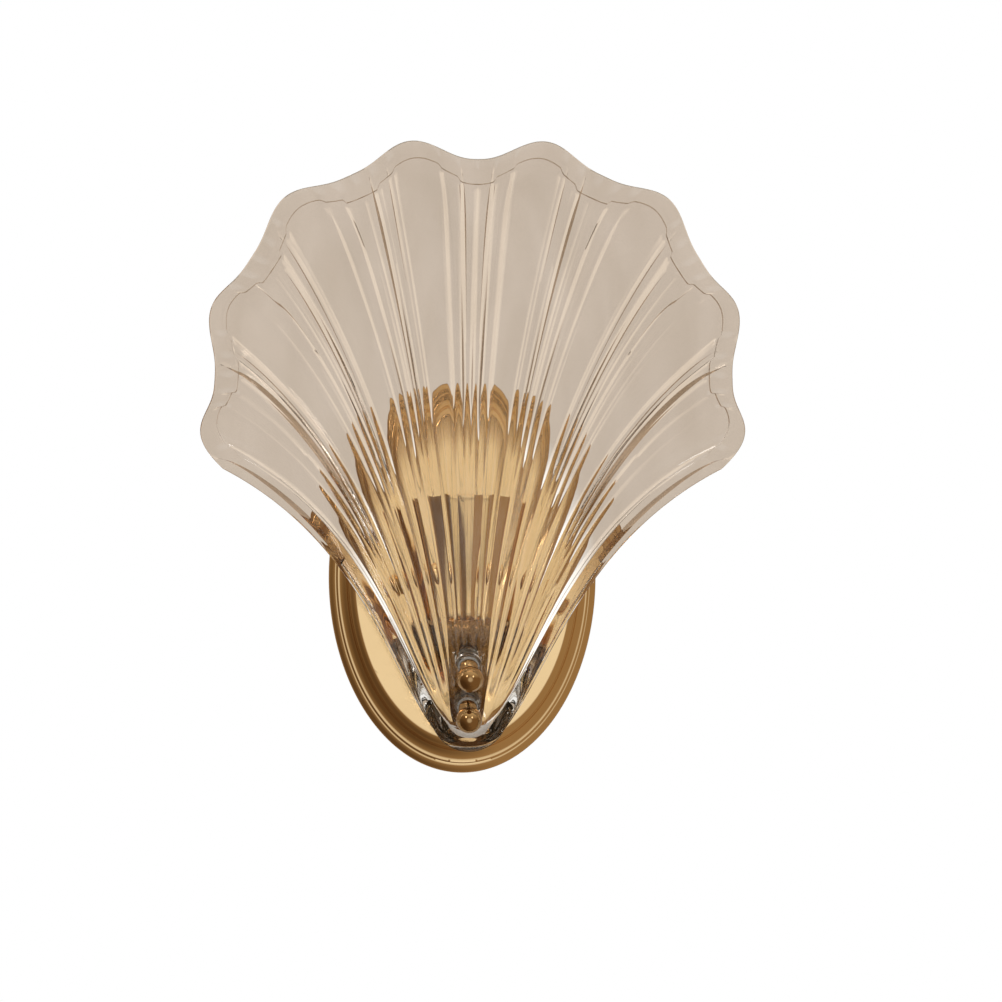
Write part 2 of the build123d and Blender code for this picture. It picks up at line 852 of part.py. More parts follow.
# ======================================================================
# Inside the canopy: terminal block, earth screw, tags, grommet and leads
# ======================================================================
block_front = crossbar_thick + block_thick
lead_depth = crossbar_thick + block_thick / 2
with BuildPart() as block:
    with BuildSketch(Plane.XZ.offset(crossbar_thick)):
        with Locations((0, block_z)):
            Rectangle(block_width, block_height)
    extrude(amount=block_thick)
    fillet(block.edges().filter_by(Axis.Y), 1.0)
    with BuildSketch(Plane.XZ.offset(block_front)):
        with Locations((0, block_z)):
            Circle(block_screw_d / 2 + 0.1)
    extrude(amount=-block_thick, mode=Mode.SUBTRACT)
    with BuildSketch(Plane.XZ.offset(block_front)):
        with Locations((-terminal_pitch / 2, block_z), (terminal_pitch / 2, block_z)):
            Circle(terminal_well_r)
    extrude(amount=-terminal_well, mode=Mode.SUBTRACT)
    with BuildSketch(Plane.XY.offset(block_z - block_height / 2)):
        with Locations((-terminal_pitch / 2, -lead_depth), (terminal_pitch / 2, -lead_depth)):
            Circle(lead_hole_r)
    extrude(amount=block_height, mode=Mode.SUBTRACT)
save(block, "terminal_block")

group(
    "terminal_screws",
    [
        slotted_screw(
            (side * terminal_pitch / 2, terminal_well - terminal_gap - block_front, block_z),
            FRONT,
            terminal_screw_r / 2,
            terminal_gap / 2,
            terminal_screw_r,
            terminal_well - 3 * terminal_gap,
        )
        for side in (-1, 1)
    ],
)
save(
    slotted_screw(
        (0, -block_front, block_z),
        FRONT,
        block_screw_d / 2,
        block_thick + crossbar_thick,
        block_screw_d,
        1.8,
    ),
    "block_screw",
)
save(
    slotted_screw(
        (earth_screw_x, -crossbar_thick - tag_thick, 0),
        FRONT,
        stud_r,
        tag_thick + crossbar_thick,
        head_d / 2,
        head_height,
    ),
    "earth_screw",
)


def ring_tag(seat, out, away):
    """A flat ring on its seat, with a crimp barrel that runs away from the screw."""
    barrel_start = along(seat, away, tag_reach - barrel_length) + out * barrel_r
    neck_middle = along(seat, away, tag_reach / 2)
    with BuildPart() as made:
        with BuildSketch(Plane(origin=seat, x_dir=away, z_dir=out)):
            Circle(tag_r)
        extrude(amount=tag_thick)
        with BuildSketch(Plane(origin=neck_middle, x_dir=away, z_dir=out)):
            Rectangle(tag_reach, barrel_r)
        extrude(amount=tag_thick)
        with BuildSketch(Plane(origin=barrel_start, x_dir=out, z_dir=away)):
            Circle(barrel_r)
        extrude(amount=barrel_length)
        with BuildSketch(Plane(origin=barrel_start, x_dir=out, z_dir=away)):
            Circle(lead_d / 2 + turning_gap)
        extrude(amount=barrel_length, mode=Mode.SUBTRACT)
        with BuildSketch(Plane(origin=seat, x_dir=away, z_dir=out)):
            Circle(stud_r + stud_clearance / 2)
        extrude(amount=tag_thick, mode=Mode.SUBTRACT)
    return made


bar_tag_seat = Vector(earth_screw_x, -crossbar_thick, 0)
foot_tag_seat = Vector(0, -inner_face, foot_screw_levels[1])
save(ring_tag(bar_tag_seat, FRONT, Vector(0, 0, -1)), "earth_tag_bar")
save(ring_tag(foot_tag_seat, -FRONT, Vector(-1, 0, 0)), "earth_tag_foot")

with BuildPart() as grommet:
    with BuildSketch(Plane.XZ.offset(inner_face - grommet_flange)):
        with Locations((0, lead_hole_z)):
            Circle(grommet_flange_r)
    extrude(amount=grommet_flange)
    with BuildSketch(Plane.XZ.offset(inner_face)):
        with Locations((0, lead_hole_z)):
            Circle(grommet_r - turning_gap)
    extrude(amount=canopy_wall)
    with BuildSketch(Plane.XZ.offset(canopy_depth)):
        with Locations((0, lead_hole_z)):
            Circle(grommet_flange_r)
    extrude(amount=grommet_flange)
    with BuildSketch(Plane.XZ.offset(inner_face - grommet_flange)):
        with Locations((0, lead_hole_z)):
            Circle(grommet_bore_r)
    extrude(amount=canopy_wall + 2 * grommet_flange, mode=Mode.SUBTRACT)
save(grommet, "lead_grommet")


def lead(label, points, radii):
    """A round lead along straight runs joined by tangent arcs."""
    with BuildPart() as made:
        with BuildLine() as path:
            FilletPolyline(*points, radius=radii)
        with BuildSketch(Plane(origin=path.line @ 0, z_dir=path.line % 0)):
            Circle(lead_d / 2)
        sweep()
    print(label, "bend radii", radii, "length", round(path.wire().length, 1))
    save(made, label)


block_foot = block_z - block_height / 2
for side, label in ((-1, "live_lead"), (1, "neutral_lead")):
    lead(
        label,
        [
            (side * terminal_pitch / 2, -lead_depth, block_foot + lead_grip),
            (side * terminal_pitch / 2, -lead_depth, block_foot - lead_drop),
            (side * lead_spread, -lead_depth, lead_hole_z + lead_rise),
            (side * lead_spread, -lead_depth, lead_hole_z),
            (side * lead_spread, lamp_y, lead_hole_z),
            (side * lead_spread, lamp_y, socket_level - lead_end),
        ],
        [3 * lead_bend_r, 3 * lead_bend_r, lead_bend_r, lead_bend_r],
    )

tag_lead_y = -crossbar_thick - barrel_r
foot_lead_y = barrel_r - inner_face
lead(
    "earth_lead",
    [
        (earth_screw_x, tag_lead_y, barrel_length / 2 - tag_reach),
        (earth_screw_x, tag_lead_y, -tag_reach - earth_drop),
        (earth_run_x, foot_lead_y, foot_screw_levels[1] + earth_rise),
        (earth_run_x, foot_lead_y, foot_screw_levels[1]),
        (barrel_length / 2 - tag_reach, foot_lead_y, foot_screw_levels[1]),
    ],
    [1.5 * lead_bend_r, 1.5 * lead_bend_r, lead_bend_r],
)
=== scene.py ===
import math

import bpy
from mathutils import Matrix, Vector


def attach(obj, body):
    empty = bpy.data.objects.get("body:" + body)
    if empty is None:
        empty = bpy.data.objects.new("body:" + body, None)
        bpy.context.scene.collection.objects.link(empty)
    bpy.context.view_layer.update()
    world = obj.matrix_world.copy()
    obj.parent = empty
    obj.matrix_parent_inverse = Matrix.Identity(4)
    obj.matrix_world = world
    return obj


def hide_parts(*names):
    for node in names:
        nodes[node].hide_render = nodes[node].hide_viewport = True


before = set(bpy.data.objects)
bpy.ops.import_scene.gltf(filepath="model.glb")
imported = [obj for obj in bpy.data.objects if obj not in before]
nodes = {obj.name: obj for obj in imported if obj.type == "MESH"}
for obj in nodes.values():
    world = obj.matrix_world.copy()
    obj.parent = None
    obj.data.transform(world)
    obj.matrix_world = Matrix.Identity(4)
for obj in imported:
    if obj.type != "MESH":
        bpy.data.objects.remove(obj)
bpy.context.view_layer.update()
MM = 0.001
FIXTURE = "fixture"
CREASE = math.radians(32)
SHARP_EDGE = math.radians(40)
VIEW = (0.0593, 0.9982, 0.0)


# ---------------------------------------------------------------- node helpers
class Shader:
    """A small builder for node materials."""

    def __init__(self, name):
        self.material = bpy.data.materials.new(name)
        self.material.use_nodes = True
        self.tree = self.material.node_tree
        self.tree.nodes.clear()
        self.out = self.tree.nodes.new("ShaderNodeOutputMaterial")
        self.body = self.tree.nodes.new("ShaderNodeBsdfPrincipled")
        self.tree.links.new(self.body.outputs[0], self.out.inputs["Surface"])
        self.where = self.tree.nodes.new("ShaderNodeTexCoord").outputs["Object"]

    def add(self, kind, **inputs):
        made = self.tree.nodes.new("ShaderNode" + kind)
        for name, value in inputs.items():
            self.feed(made, name, value)
        return made

    def feed(self, node, name, value):
        socket = node.inputs[int(name[1:])] if name.startswith("_") else node.inputs[name.replace("_", " ")]
        if isinstance(value, bpy.types.NodeSocket):
            self.tree.links.new(value, socket)
        elif isinstance(value, tuple) and len(value) == 3 and len(socket.default_value) == 4:
            socket.default_value = (*value, 1.0)
        else:
            socket.default_value = value

    def set(self, **inputs):
        for name, value in inputs.items():
            self.feed(self.body, name, value)

    def math(self, operation, a, b=0.0):
        made = self.tree.nodes.new("ShaderNodeMath")
        made.operation = operation
        self.feed(made, "_0", a)
        self.feed(made, "_1", b)
        return made.outputs[0]

    def noise(self, scale, detail=3.0, rough=0.5, stretch=(1, 1, 1), distortion=0.0):
        mapping = self.add("Mapping", Vector=self.where)
        mapping.inputs["Scale"].default_value = stretch
        made = self.add("TexNoise", Vector=mapping.outputs[0], Scale=scale, Detail=detail, Roughness=rough)
        made.inputs["Distortion"].default_value = distortion
        return made.outputs["Fac"]

    def mix(self, factor, a, b):
        made = self.tree.nodes.new("ShaderNodeMix")
        made.data_type = "RGBA"
        self.feed(made, "_0", factor)
        for index, value in ((6, a), (7, b)):
            if isinstance(value, bpy.types.NodeSocket):
                self.tree.links.new(value, made.inputs[index])
            else:
                made.inputs[index].default_value = (*value, 1.0)
        return made.outputs[2]

    def span(self, value, low, high, to_low, to_high):
        made = self.tree.nodes.new("ShaderNodeMapRange")
        for index, item in enumerate((value, low, high, to_low, to_high)):
            self.feed(made, f"_{index}", item)
        return made.outputs[0]

    def bump(self, height, strength, distance):
        made = self.add("Bump", Height=height, Strength=strength, Distance=distance)
        self.tree.links.new(made.outputs[0], self.body.inputs["Normal"])


# ---------------------------------------------------------------- materials
def metal(name, light, dark, rough, brushed=(1, 1, 1), grain=0.05, scratch=0.03, tarnish=0.3):
    """Polished or turned metal: colour drifts a little, fine grain and hairline marks in its gloss."""
    s = Shader(name)
    cloud = s.noise(22.0, 4.0, 0.6)
    colour = s.mix(s.span(cloud, 0.35, 0.75, 0.0, tarnish), light, dark)
    hair = s.noise(900.0, 2.0, 0.5, brushed)
    speck = s.noise(260.0, 3.0, 0.6)
    gloss = s.span(speck, 0.45, 0.8, rough, rough + 0.10)
    roughness = s.math("ADD", s.span(hair, 0.3, 0.7, -grain, grain), gloss)
    s.set(Base_Color=colour, Metallic=1.0, Roughness=roughness)
    s.bump(s.math("ADD", hair, s.math("MULTIPLY", speck, 0.5)), scratch, 0.00005)
    return s.material


def plastic(name, colour, rough=0.4, grain=400.0, spread=0.06, coat=0.0, ior=1.5):
    s = Shader(name)
    cloud = s.noise(40.0, 3.0)
    darker = tuple(c * (1 - spread * 2) for c in colour)
    s.set(Base_Color=s.mix(s.span(cloud, 0.3, 0.7, 0.0, 1.0), colour, darker))
    s.set(Roughness=s.span(s.noise(grain, 2.0), 0.3, 0.7, rough - 0.05, rough + 0.08))
    s.set(IOR=ior, Coat_Weight=coat)
    s.bump(s.noise(grain * 2, 2.0), 0.05, 0.00005)
    return s.material


# Painted shade: the ball nuts use a darker brown copy of the polished brass, standing in for the dark room
# it reflects.
knob_brass_painted_shade = metal("knob_brass_painted_shade", (0.44, 0.28, 0.13), (0.32, 0.20, 0.09), 0.05, (1, 1, 60), 0.02, 0.02)
brass = metal("polished_brass", (0.83, 0.60, 0.32), (0.70, 0.47, 0.22), 0.10, (1, 1, 60), 0.02, 0.02)
canopy_brass = metal(
    "canopy_brass", (0.83, 0.60, 0.32), (0.72, 0.50, 0.25), 0.07, (1, 1, 80), 0.02, 0.02, 0.25
)
# Painted shade: the bracket strip uses a dark brown copy of the polished brass, standing in for the dark
# side of the room it reflects.
strip_brass_painted_shade = metal(
    "strip_brass_painted_shade", (0.24, 0.13, 0.05), (0.17, 0.085, 0.028), 0.24, (1, 60, 1), 0.05, 0.05, 0.5
)
turned_brass = metal("turned_brass", (0.74, 0.56, 0.32), (0.55, 0.38, 0.20), 0.25, (1, 1, 40), 0.06, 0.06)
zinc = metal("zinc_plated_steel", (0.62, 0.62, 0.60), (0.45, 0.45, 0.44), 0.32, (30, 1, 1), 0.08, 0.08)


def threaded(name, base, pitch, centre=(0.0, 0.0), direction="Z"):
    """A turned material with thread ridges round an upright axis through centre, painted darker in the
    thread grooves as shade.
    """
    s = Shader(name)
    place = s.add("SeparateXYZ", Vector=s.where)
    dx = s.math("SUBTRACT", place.outputs["X"], centre[0])
    dy = s.math("SUBTRACT", place.outputs["Y"], centre[1])
    turn = s.math("DIVIDE", s.math("ARCTAN2", dy, dx), 2 * math.pi)
    climb = s.math("DIVIDE", place.outputs[direction], pitch)
    wave = s.math("SINE", s.math("MULTIPLY", s.math("SUBTRACT", climb, turn), 2 * math.pi))
    # Painted shade: the colour darkens to 0.7 in the thread grooves and is lightest on the ridges.
    s.set(Base_Color=s.mix(s.span(wave, -1.0, 1.0, 0.0, 1.0), tuple(c * 0.7 for c in base), base))
    s.set(Metallic=1.0, Roughness=s.span(s.noise(300.0), 0.3, 0.7, 0.2, 0.35))
    s.bump(wave, 0.9, pitch * 0.18)
    return s.material


LAMP = (0.0, -0.035)
shell_thread = threaded("rolled_thread", (0.72, 0.70, 0.64), 2.82 * MM, LAMP)
nipple_thread = threaded("nipple_thread", (0.74, 0.56, 0.32), 1.0 * MM, LAMP)


def stud_material():
    """Studs that point out of the wall: ridges a pitch apart along their length, painted darker in the
    grooves as shade.
    """
    s = Shader("stud_thread")
    place = s.add("SeparateXYZ", Vector=s.where)
    wave = s.math("SINE", s.math("MULTIPLY", place.outputs["Y"], 2 * math.pi / (0.7 * MM)))
    # Painted shade: the colour is darker in the thread grooves and lighter on the ridges.
    s.set(Base_Color=s.mix(s.span(wave, -1, 1, 0.0, 1.0), (0.36, 0.36, 0.35), (0.62, 0.62, 0.60)))
    s.set(Metallic=1.0, Roughness=s.span(s.noise(300.0), 0.3, 0.7, 0.25, 0.4))
    s.bump(wave, 0.8, 0.0001)
    return s.material


def glass_material():
    """Clear pressed glass with a painted taupe see-through tone away from the neck, standing in for a beige
    wall seen through it, faint striae and fire-polished ripples.
    """
    s = Shader("pressed_glass")
    place = s.add("SeparateXYZ", Vector=s.where)
    across = s.math("DIVIDE", place.outputs["X"], 0.052)
    up = s.math("DIVIDE", place.outputs["Z"], 0.074)
    far = s.math("SQRT", s.math("ADD", s.math("POWER", across, 2.0), s.math("POWER", up, 2.0)))
    # Painted see-through tone: taupe stands in for a beige wall seen through the clear glass, fading out
    # near the neck where the canopy lies behind.
    painted_tone_share = s.span(far, 0.82, 1.08, 0.0, 1.0)
    striae = s.noise(9.0, 2.0, 0.5, (6, 6, 1), 0.4)
    painted_wall_tone = s.mix(s.span(striae, 0.3, 0.7, 0.0, 1.0), (0.55, 0.46, 0.37), (0.61, 0.515, 0.425))
    s.set(Base_Color=s.mix(painted_tone_share, (0.95, 0.92, 0.87), painted_wall_tone), Transmission_Weight=1.0)
    s.set(Roughness=s.span(s.noise(60.0, 2.0), 0.3, 0.7, 0.0, 0.03), IOR=1.5)
    s.bump(s.noise(70.0, 2.0, 0.5, (2, 2, 1)), 0.10, 0.0004)
    return s.material


def clear_soft(name, colour, rough):
    s = Shader(name)
    s.set(Base_Color=s.mix(s.noise(80.0), colour, tuple(c * 0.93 for c in colour)), Transmission_Weight=0.75)
    s.set(Roughness=s.span(s.noise(200.0), 0.3, 0.7, rough, rough + 0.1), IOR=1.42)
    s.bump(s.noise(300.0), 0.08, 0.0001)
    return s.material


def striped():
    """Green insulation with a spiral yellow stripe."""
    s = Shader("green_yellow")
    place = s.add("SeparateXYZ", Vector=s.where)
    wave = s.math("SINE", s.math("MULTIPLY", s.math("ADD", place.outputs["X"], place.outputs["Z"]), 1500.0))
    colour = s.mix(s.span(wave, -0.1, 0.1, 0.0, 1.0), (0.05, 0.28, 0.06), (0.75, 0.62, 0.05))
    s.set(Base_Color=colour, Roughness=s.span(s.noise(200.0), 0.3, 0.7, 0.35, 0.5))
    s.bump(s.noise(500.0), 0.05, 0.00005)
    return s.material


glass = glass_material()
stud_thread = stud_material()
clear_rubber = clear_soft("clear_rubber", (0.93, 0.91, 0.86), 0.18)
amber_rubber = clear_soft("amber_rubber", (0.42, 0.28, 0.15), 0.25)
black_rubber = plastic("black_rubber", (0.02, 0.02, 0.02), 0.6)
ceramic = plastic("white_ceramic", (0.80, 0.79, 0.75), 0.22, 200.0, 0.03, 0.4)
ivory = plastic("ivory_skirt", (0.82, 0.79, 0.70), 0.30, 300.0, 0.04, 0.2)
white_block = plastic("white_block", (0.74, 0.74, 0.72), 0.42)
brown_lead = plastic("brown_insulation", (0.16, 0.07, 0.03), 0.38)
blue_lead = plastic("blue_insulation", (0.03, 0.11, 0.40), 0.38)
green_yellow = striped()


# ---------------------------------------------------------------- smoothing of carried-over nodes
def smooth_group():
    """Shades smooth, with creases kept where faces meet at more than 32 degrees."""
    group = bpy.data.node_groups.new("smooth_but_creased", "GeometryNodeTree")
    group.interface.new_socket("Geometry", in_out="INPUT", socket_type="NodeSocketGeometry")
    group.interface.new_socket("Geometry", in_out="OUTPUT", socket_type="NodeSocketGeometry")
    start = group.nodes.new("NodeGroupInput")
    merge = group.nodes.new("GeometryNodeMergeByDistance")
    merge.inputs["Distance"].default_value = 1e-6
    faces = group.nodes.new("GeometryNodeSetShadeSmooth")
    edges = group.nodes.new("GeometryNodeSetShadeSmooth")
    edges.domain = "EDGE"
    edges.inputs["Shade Smooth"].default_value = False
    angle = group.nodes.new("GeometryNodeInputMeshEdgeAngle")
    compare = group.nodes.new("FunctionNodeCompare")
    compare.data_type = "FLOAT"
    compare.operation = "GREATER_THAN"
    compare.inputs[1].default_value = CREASE
    end = group.nodes.new("NodeGroupOutput")
    link = group.links.new
    link(start.outputs[0], merge.inputs["Geometry"])
    link(merge.outputs[0], faces.inputs["Geometry"])
    link(faces.outputs[0], edges.inputs["Geometry"])
    link(angle.outputs["Unsigned Angle"], compare.inputs[0])
    link(compare.outputs[0], edges.inputs["Selection"])
    link(edges.outputs[0], end.inputs[0])
    return group


creased = smooth_group()


def shade_creased(piece):
    shading = piece.modifiers.new("smooth", "NODES")
    shading.node_group = creased


def round_edges(piece, width, segments):
    rounding = piece.modifiers.new("rounded_edges", "BEVEL")
    rounding.width = width
    rounding.segments = segments
    rounding.limit_method = "ANGLE"
    rounding.angle_limit = SHARP_EDGE


def dress(node, material, bevel):
    """Gives a carried-over node its material, rounded edges and smooth shading."""
    piece = nodes[node]
    piece.data.materials.clear()
    piece.data.materials.append(material)
    if bevel:
        weld = piece.modifiers.new("weld", "WELD")
        weld.merge_threshold = 1e-6
        round_edges(piece, bevel, 2)
    shade_creased(piece)


DRESS = {
    "wall_crossbar": (zinc, 0.25 * MM),
    "canopy_studs": (stud_thread, 0),
    "crossbar_lock_nuts": (zinc, 0.2 * MM),
    "canopy_nut_left": (brass, 0),
    "canopy_nut_right": (brass, 0),
    "shade_bracket": (strip_brass_painted_shade, 0.2 * MM),
    "bracket_screws": (turned_brass, 0.1 * MM),
    "bracket_nuts": (zinc, 0.2 * MM),
    "shade_studs": (stud_thread, 0),
    "shade_lock_nuts": (zinc, 0.2 * MM),
    "rear_washers": (amber_rubber, 0.25 * MM),
    "hole_sleeves": (amber_rubber, 0.1 * MM),
    "front_washers": (clear_rubber, 0.35 * MM),
    "shade_ball_nut_lower": (knob_brass_painted_shade, 0),
    "shade_ball_nut_upper": (knob_brass_painted_shade, 0),
    "lampholder_nipple": (nipple_thread, 0.1 * MM),
    "nipple_nut_lower": (turned_brass, 0.2 * MM),
    "nipple_nut_upper": (turned_brass, 0.2 * MM),
    "lampholder_cup": (brass, 0.15 * MM),
    "lampholder_base": (ceramic, 0.2 * MM),
    "lampholder_shell": (shell_thread, 0),
    "lampholder_skirt": (ivory, 0.25 * MM),
    "centre_contact": (turned_brass, 0.05 * MM),
    "socket_rivets": (turned_brass, 0),
    "terminal_block": (white_block, 0.2 * MM),
    "terminal_screws": (turned_brass, 0.05 * MM),
    "block_screw": (zinc, 0.1 * MM),
    "earth_screw": (turned_brass, 0.1 * MM),
    "earth_tag_bar": (zinc, 0.1 * MM),
    "earth_tag_foot": (zinc, 0.1 * MM),
    "lead_grommet": (black_rubber, 0.25 * MM),
    "live_lead": (brown_lead, 0),
    "neutral_lead": (blue_lead, 0),
    "earth_lead": (green_yellow, 0),
}
for node, (material, bevel) in DRESS.items():
    dress(node, material, bevel)


# ---------------------------------------------------------------- mesh helpers
def mesh_object(name, points, faces, material, smooth=True):
    mesh = bpy.data.meshes.new(name)
    mesh.from_pydata([tuple(p) for p in points], [], faces)
    mesh.update()
    mesh.materials.append(material)
    if smooth:
        mesh.shade_smooth()
    made = bpy.data.objects.new(name, mesh)
    bpy.context.scene.collection.objects.link(made)
    return made


def apply_modifiers(piece):
    bpy.context.view_layer.update()
    depsgraph = bpy.context.evaluated_depsgraph_get()
    made = bpy.data.meshes.new_from_object(piece.evaluated_get(depsgraph))
    piece.modifiers.clear()
    piece.data = made


def tube(name, origin, axis, radius, length, turns):
    """A closed round bar from origin along axis, for cutting."""
    axis = Vector(axis).normalized()
    side = Vector((1, 0, 0))
    other = axis.cross(side).normalized()
    points = []
    for level in (0.0, length):
        for k in range(turns):
            a = 2 * math.pi * k / turns
            spoke = side * radius * math.cos(a) + other * radius * math.sin(a)
            points.append(Vector(origin) + axis * level + spoke)
    faces = [(k, (k + 1) % turns, turns + (k + 1) % turns, turns + k) for k in range(turns)]
    faces += [tuple(reversed(range(turns))), tuple(range(turns, 2 * turns))]
    return mesh_object(name, points, faces, glass, False)


def cut(piece, tool, operation="DIFFERENCE"):
    change = piece.modifiers.new("cut", "BOOLEAN")
    change.operation = operation
    change.solver = "EXACT"
    change.object = tool
    apply_modifiers(piece)
    bpy.data.objects.remove(tool)


# ---------------------------------------------------------------- glass shell, finely meshed
def ease(low, high, value):
    t = min(max((value - low) / (high - low), 0.0), 1.0)
    return t * t * (3 - 2 * t)


LOBE_PITCH, HALF_VALLEY, FLUTES = 0.2624, 0.3, 4
HUB_Z, HEEL_Z = 50.0, -59.4
RIM_Y, RIM_Z, RIM_TILT = -61.14, -80.0, math.tan(math.radians(16.0))
WALL, RIM_WALL, RIM_BAND, RIM_NOTCH = 5.0, 4.0, 7.2, 3.2
FLUTE, LEDGE, LEDGE_RUN = 1.3, 1.3, 0.0014
PROBE = 0.002


def lobe_wave(side):
    return (1 - math.cos(2 * math.pi * side / LOBE_PITCH)) / 2


def valley_place(side):
    """Distance from the middle of the nearest valley, in lobe pitches."""
    return (side / LOBE_PITCH + 0.5) % 1.0 - 0.5


def notch(side):
    valley = abs(valley_place(side))
    outer_flutes = ease(0.025, -0.005, valley - HALF_VALLEY)
    inner_flutes = ease(0.015, -0.005, valley - HALF_VALLEY / 2)
    return 0.45 * outer_flutes + 0.55 * inner_flutes


def meridian(side, skin):
    """The four control points of one meridian in front view."""
    angle = math.radians(88.0 + 2.5 * skin) * side
    radius = 135.5 - 23.0 * abs(math.sin(angle)) ** 5.7 - 4.6 * math.exp(-((side / 0.1) ** 2))
    radius += 6.7 * lobe_wave(side) ** 1.4 - 5.0 * abs(side) ** 24
    radius -= (RIM_BAND + RIM_NOTCH * notch(side)) * (1 - skin)
    heel_r = 10.9 + 6.3 * skin
    turn = math.radians(65.0) * side
    across, inward = math.sin(math.pi * side / 2), math.cos(math.pi * side / 2)
    spread = math.tanh(2.4 * side) / math.tanh(2.4)
    return (
        (heel_r * math.sin(turn), HEEL_Z - heel_r * math.cos(turn)),
        ((31.3 + 4.7 * skin) * across, (-35.8 - 3.7 * skin) + 49.8 * inward),
        ((44.4 + 4.0 * skin) * spread, (22.7 - 5.0 * skin) + 76.3 * inward),
        (radius * math.sin(angle), HUB_Z + radius * math.cos(angle)),
    )


def cubic(points, rise):
    weights = ((1 - rise) ** 3, 3 * rise * (1 - rise) ** 2, 3 * rise**2 * (1 - rise), rise**3)
    return [sum(w * p[i] for w, p in zip(weights, points)) for i in (0, 1)]


def on_rim(place, depth):
    """A front-view place at a depth behind the leaning rim plane, in millimetres."""
    x, z = place
    return Vector((x, RIM_Y - RIM_TILT * (z - RIM_Z) + depth, z))


def flute_ridge(side, rise):
    """1 on a ridge between flutes and 0 in a flute: a broad flute of the neck parts in four near the rim."""
    valley = abs(valley_place(side))
    parting = ease(0.42, 0.66, rise)
    if valley <= HALF_VALLEY + 1e-6:
        broad = (valley / HALF_VALLEY) ** 2
        fine = (2 * abs((2 * valley / HALF_VALLEY) % 1.0 - 0.5)) ** 2
    else:
        broad = max(0.0, 1 - (valley - HALF_VALLEY) / (0.5 - HALF_VALLEY)) ** 2
        fine = max(0.0, 1 - (valley - HALF_VALLEY) / 0.08) ** 2
    return broad * (1 - parting) + fine * parting


def bowl_depth(side, rise):
    inward = max(round(math.cos(math.pi * side / 2), 9), 0.0)
    closing = (1 - math.exp(-rise / 0.012)) * (1 - math.exp(-(1 - rise) / 0.2))
    if rise in (0.0, 1.0):
        closing = 0.0
    depth = 13.0 + 11.0 * math.exp(-((rise / 0.13) ** 1.5)) + 15.0 * ease(0.15, 0.6, rise)
    depth *= inward ** (0.5 + 0.4 * min(rise / 0.4, 1.0)) * closing
    return depth * (1 + 0.22 * (2 * lobe_wave(side) ** 1.2 - 1) * rise**1.5), inward


def bowl_point(side, rise, inner, fluted):
    depth, inward = bowl_depth(side, rise)
    if fluted:
        fade = (0.85 * ease(0.05, 0.25, rise) + 0.15 * ease(0.3, 0.7, rise)) * inward**0.3
        depth -= FLUTE * flute_ridge(side, rise) * fade * min(1.0, (1 - rise) / 0.01)
        depth += LEDGE * min(1.0, (1 - rise) / LEDGE_RUN) * ease(0.1, 0.4, rise) * min(1.0, inward / 0.1)
    return on_rim(cubic(inner, rise), depth)


LIP_TURNS = (0, -1, -2, 30, 60, 90)
LIP_ROUND, BAR = 0.9, 0.9


def lip_point(side, rise, inner, outer, turn):
    """Rim face, with the flutes' ends as low bars, and its rounded outer edge."""
    near, far = cubic(inner, rise), cubic(outer, rise)
    band = math.dist(near, far)
    bar = 0.0
    if turn <= 0:
        share = (0.25, 0.5, 0.75)[-turn] * (1 - LIP_ROUND / band)
        if rise == 1.0:
            in_valley = abs(valley_place(side)) <= HALF_VALLEY + 0.03
            bar = BAR * flute_ridge(side, 1.0) * (0.6, 1.0, 0.6)[-turn] if in_valley else 0.0
        depth = -bar
    else:
        angle = math.radians(turn)
        share = 1 - LIP_ROUND * (1 - math.sin(angle)) / band
        depth = LIP_ROUND * (1 - math.cos(angle))
    return on_rim([n + (f - n) * share for n, f in zip(near, far)], depth)


def back_point(side, rise, meridians, outer):
    """Outside of the wall: the bowl thickened along its normal, drawn out to the rim's edge."""
    before, here, after = meridians
    near_side = max(min(side, 1 - 2 * PROBE), 2 * PROBE - 1)
    near_rise = max(min(rise, 1 - 2 * PROBE), 2 * PROBE)
    left = bowl_point(near_side - PROBE, near_rise, before, False)
    right = bowl_point(near_side + PROBE, near_rise, after, False)
    low = bowl_point(near_side, near_rise - PROBE, here, False)
    high = bowl_point(near_side, near_rise + PROBE, here, False)
    outward = (high - low).cross(right - left).normalized()
    if outward.y < 0:
        outward = -outward
    wall = bowl_point(near_side, near_rise, here, False) + outward * WALL
    edge = 1 - (1 - abs(side) ** 12) * (1 - math.exp(-rise / 0.02)) * (1 - math.exp(-(1 - rise) / 0.035))
    if abs(side) == 1.0 or rise in (0.0, 1.0):
        edge = 1.0
    return wall.lerp(on_rim(cubic(outer, rise), RIM_WALL), edge)


def shell_stations(columns_per_flute, rows):
    step = 2 * HALF_VALLEY / FLUTES * LOBE_PITCH / columns_per_flute
    half = [k * step for k in range(int(0.975 / step) + 1)]
    tail = 1.0 - half[-1]
    half += [half[-1] + tail * f for f in (0.3, 0.6, 0.8, 0.93, 1.0)]
    sides = [-s for s in reversed(half[1:])] + half
    rises = {k / rows for k in range(rows + 1)} | {0.002, 0.004, 0.0095, 0.0165, 0.0235}
    rises |= {1 - e for e in (LEDGE_RUN, LEDGE_RUN + 0.0004, 0.003, 0.005, 0.01)}
    return sides, sorted(rises)


